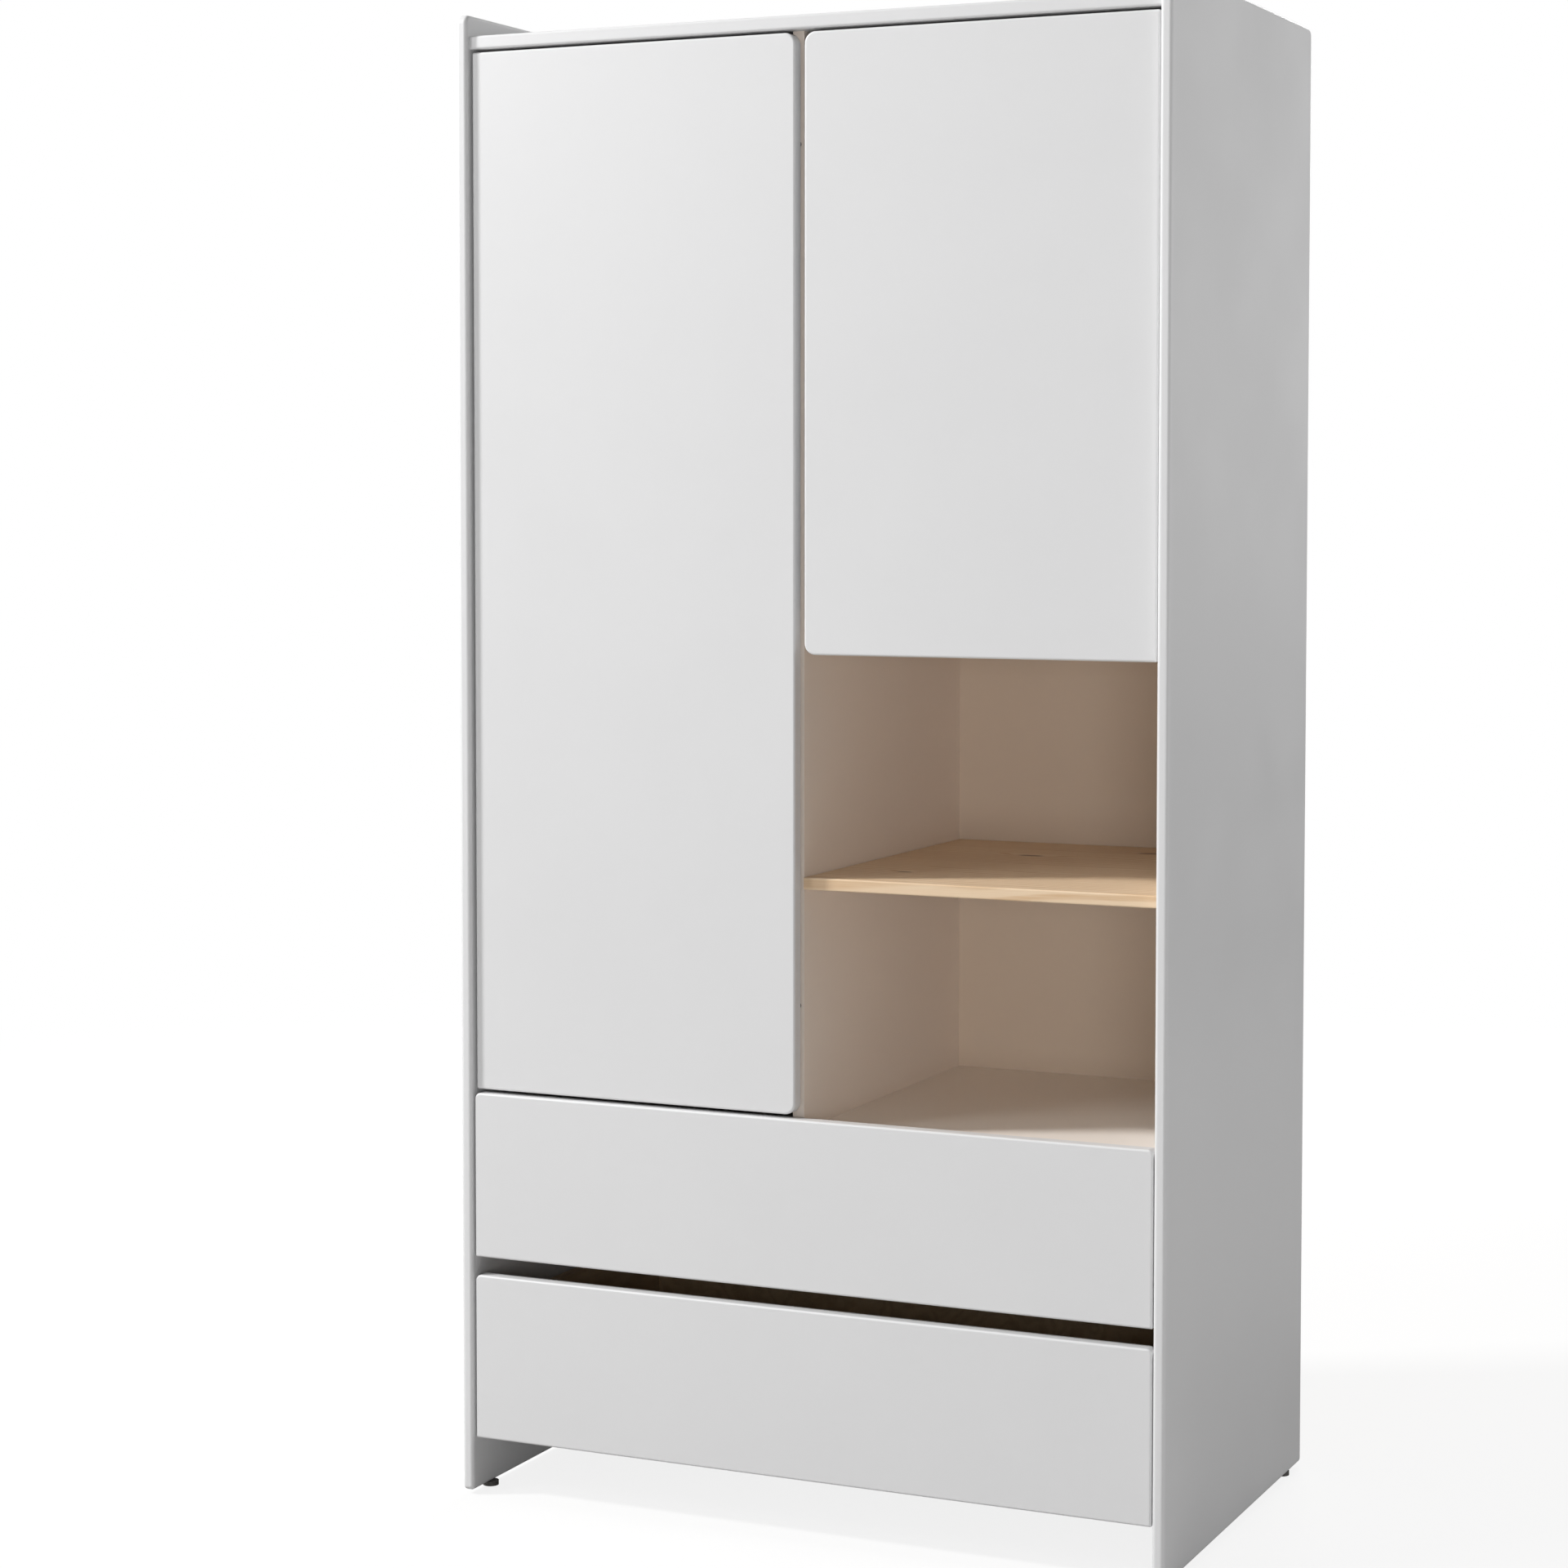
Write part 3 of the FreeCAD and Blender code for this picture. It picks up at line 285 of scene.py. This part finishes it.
def knot_marks(finish, x, y):
    """How far the grain swings round the knots, and the dark knots themselves."""
    swing, spots = 0.0, 0.0
    for knot_x, knot_y, radius in PINE_KNOTS:
        along = finish.maths("DIVIDE", finish.maths("SUBTRACT", x, knot_x), KNOT_LENGTH * radius)
        across = finish.maths("DIVIDE", finish.maths("SUBTRACT", y, knot_y), radius)
        square = finish.maths("MULTIPLY_ADD", across, across,
                              finish.maths("MULTIPLY", along, along))
        far = finish.maths("SQRT", square)
        bend = finish.between(far, 0.0, 4.0, KNOT_SWING, 0.0)
        swing = finish.maths("ADD", swing, bend)
        spots = finish.maths("MAXIMUM", spots, finish.between(far, 0.55, 1.25, 1.0, 0.0))
    return swing, spots


def slow_along(finish, x, y, z, shift):
    """The place in the log that a stave was sawn from: each stave its own, slow along the grain."""
    log = finish.add("ShaderNodeCombineXYZ")
    slid = finish.maths("MULTIPLY_ADD", shift, 7.0, finish.maths("MULTIPLY", x, 0.16))
    for source, socket in zip((slid, y, z), log.inputs):
        finish.feed(source, socket)
    return log.outputs[0]


def pine(name):
    """Edge-glued pine staves with growth rings along their length and a few knots."""
    finish = Finish(name)
    x, y, z = finish.axes(finish.place)
    in_staves = finish.maths("DIVIDE", y, STAVE_WIDTH)
    chance = finish.add("ShaderNodeTexWhiteNoise", noise_dimensions="1D")
    finish.feed(finish.maths("FLOOR", in_staves), chance.inputs["W"])
    luck = chance.outputs["Value"]
    flow = finish.noise(9.0, 2.5, place=slow_along(finish, x, y, z, luck))
    swing, spots = knot_marks(finish, x, y)
    strayed = finish.maths("MULTIPLY_ADD", flow, PINE_WANDER, y)
    across = finish.maths("ADD", strayed, swing)
    turn = finish.maths("MULTIPLY_ADD", across, PINE_RINGS, finish.maths("MULTIPLY", luck, 40.0))
    late = finish.between(finish.maths("SINE", turn), -0.2, 1.0)
    fibre = finish.noise(60.0, 4.0, 0.6, finish.stretched((0.25, 9.0, 9.0)))
    in_stave = finish.maths("SUBTRACT", finish.maths("FRACT", in_staves), 0.5)
    seam = finish.between(finish.maths("ABSOLUTE", in_stave), 0.492, 0.4995, 0.0, 0.45)

    wood = finish.blend(luck, PINE_LIGHT, PINE_DARK)
    wood = finish.blend(finish.maths("MULTIPLY", late, 0.62), wood, PINE_LATE_WOOD)
    wood = finish.blend(finish.between(fibre, 0.35, 0.75, 0.0, 0.35), wood, PINE_FIBRE)
    wood = finish.blend(seam, wood, PINE_GLUE)
    finish.colour(finish.blend(finish.maths("MULTIPLY", spots, 0.85), wood, PINE_KNOT))
    finish.roughness(finish.between(late, 0.0, 1.0, 0.42, 0.52))
    finish.relief(finish.maths("MULTIPLY_ADD", late, 0.5, fibre), 0.12, 0.0004)
    return finish.material


BIRCH_LIGHT, BIRCH_DARK = rgba(0.68, 0.51, 0.33), rgba(0.52, 0.35, 0.20)
BIRCH_FIBRE = rgba(0.76, 0.61, 0.42)
BIRCH_GLUE = rgba(0.30, 0.18, 0.10)
PLY_PAIR = 0.003  # thickness of two layers of the plywood


def birch_ply(name):
    """Lacquered birch plywood: quiet grain along the drawer, thin dark glue lines on its edges."""
    finish = Finish(name)
    x, _, z = finish.axes(finish.place)
    flow = finish.noise(7.0, 3.0, 0.55, finish.stretched((1.0, 0.10, 1.0)))
    turn = finish.maths("MULTIPLY_ADD", flow, 95.0, finish.maths("MULTIPLY", z, 60.0))
    late = finish.between(finish.maths("SINE", turn), -0.4, 1.0, 0.0, 0.40)
    fibre = finish.noise(90.0, 3.0, 0.6, finish.stretched((5.0, 0.2, 5.0)))
    _, _, facing_up = finish.axes(finish.add("ShaderNodeTexCoord").outputs["Normal"])
    on_edge = finish.between(finish.maths("ABSOLUTE", facing_up), 0.6, 0.8)
    layers = finish.maths("SINE", finish.maths("MULTIPLY", x, 2 * math.pi / PLY_PAIR))
    glue = finish.maths("MULTIPLY", finish.between(layers, 0.55, 0.95, 0.0, 0.55), on_edge)

    wood = finish.blend(late, BIRCH_LIGHT, BIRCH_DARK)
    wood = finish.blend(finish.between(fibre, 0.35, 0.7, 0.0, 0.3), wood, BIRCH_FIBRE)
    finish.colour(finish.blend(glue, wood, BIRCH_GLUE))
    finish.roughness(finish.between(fibre, 0.3, 0.7, 0.45, 0.60))
    finish.relief(fibre, 0.10, 0.0003)
    return finish.material


def drawn_metal(name, light, dark, smooth, rough, along):
    """Plated steel with fine lines along the way it was drawn."""
    finish = Finish(name, metallic=1.0)
    scale = tuple(12.0 if axis == along else 900.0 for axis in "XYZ")
    lines = finish.noise(1.0, 3.0, 0.6, finish.stretched(scale))
    finish.colour(finish.blend(finish.noise(35.0, 2.0), light, dark))
    finish.roughness(finish.between(lines, 0.3, 0.7, smooth, rough))
    finish.relief(lines, 0.05, 0.0002)
    return finish.material


def cast_metal(name, light, dark):
    """Zinc as it comes from the mould or the plating drum: cloudy, with a fine tooth."""
    finish = Finish(name, metallic=1.0)
    finish.colour(finish.blend(finish.noise(160.0, 3.0), light, dark))
    finish.roughness(finish.between(finish.noise(240.0, 2.0), 0.3, 0.7, 0.38, 0.55))
    finish.relief(finish.noise(900.0, 2.0), 0.15, 0.0002)
    return finish.material


def soft_plastic(name, light, dark):
    """Moulded plastic with a dull grain."""
    finish = Finish(name)
    finish.colour(finish.blend(finish.noise(180.0, 2.0), light, dark))
    finish.roughness(finish.between(finish.noise(320.0, 2.0), 0.3, 0.7, 0.55, 0.72))
    finish.relief(finish.noise(1500.0, 2.0), 0.12, 0.0002)
    return finish.material


# ---------------------------------------------------------------- which piece wears what

def paint(node_names, material):
    for name in node_names:
        obj = NODES[name]
        obj.data.materials.clear()
        obj.data.materials.append(material)


def each(pattern, words):
    return [pattern.format(word) for word in words]


def paint_boards():
    white = lacquer("white_lacquer",
                    rgba(0.80, 0.80, 0.803), rgba(0.775, 0.775, 0.78), 0.36, 0.46)
    # The inside boards are white like the fronts; their warm beige tint is painted warm shade, so
    # the shade in the niche comes out tan.
    inside = lacquer("white_inside_painted_warm_shade",
                     rgba(0.94, 0.83, 0.735), rgba(0.91, 0.80, 0.705), 0.42, 0.52)
    # The niche floor is white; its warmer tint is painted warm shade, to make its shaded part come
    # out tan.
    floor = lacquer("white_floor_painted_warm_shade",
                    rgba(0.95, 0.885, 0.82), rgba(0.92, 0.855, 0.79), 0.40, 0.50)
    # The back panels' tan is painted warm shade for the niche's back wall; the same tan covers the
    # outer back as well.
    backing = lacquer("backing_painted_warm_shade",
                      rgba(0.79, 0.66, 0.54), rgba(0.76, 0.63, 0.51), 0.55, 0.65, peel=0.1)
    paint(["side_panel_left", "side_panel_right", "top_panel", "bottom_panel", "plinth_rail",
           "wall_fixing_rail"], white)
    paint(each("{}_door_panel", DOORS) + each("{}_drawer_front", DRAWERS), white)
    paint(["divider_panel", "niche_ceiling_panel", "hat_shelf", "cupboard_shelf"], inside)
    paint(["middle_floor_panel"], floor)
    paint(["back_panel_left", "back_panel_right", "back_panel_lower"], backing)
    paint(["niche_shelf"], pine("pine_shelf"))
    birch = birch_ply("birch_ply")
    for piece in ("side_left", "side_right", "back", "bottom"):
        paint(each("{}_drawer_" + piece, DRAWERS), birch)


def paint_fittings():
    tube = drawn_metal("chromed_tube",
                       rgba(0.74, 0.75, 0.77), rgba(0.68, 0.69, 0.71), 0.12, 0.20, "X")
    plated = drawn_metal("nickel_plate",
                         rgba(0.60, 0.60, 0.61), rgba(0.52, 0.52, 0.53), 0.24, 0.36, "Z")
    sheet = drawn_metal("zinc_sheet",
                        rgba(0.58, 0.59, 0.61), rgba(0.50, 0.51, 0.53), 0.28, 0.42, "Y")
    screw = cast_metal("zinc_screw", rgba(0.56, 0.56, 0.58), rgba(0.46, 0.46, 0.48))
    casting = cast_metal("zinc_casting", rgba(0.42, 0.42, 0.43), rgba(0.34, 0.34, 0.35))
    grey = soft_plastic("grey_plastic", rgba(0.10, 0.095, 0.09), rgba(0.07, 0.065, 0.06))

    paint(["clothes_rail", "clothes_rail_sockets"], tube)
    paint(["shelf_pins", "cam_bolts", "wall_brackets"], plated)
    for piece in ("arms", "plates", "cups", "pins"):
        paint(each("{}_hinge_" + piece, DOORS), plated)
    paint(["hinge_plate_screws", "outer_rail_screws"], screw)
    paint(each("{}_cup_screws", DOORS) + each("{}_inner_rail_screws", DRAWERS), screw)
    paint(["cam_locks"], casting)
    for rail in ("middle_rails", "left_outer_rail", "left_inner_rail",
                 "right_outer_rail", "right_inner_rail"):
        paint(each("{}_" + rail, DRAWERS), sheet)
    paint(["door_buffers", "foot_glides"], grey)


SCENE.view_settings.view_transform = "Standard"
studio()
studio_world()
studio_floor()
paint_boards()
paint_fittings()
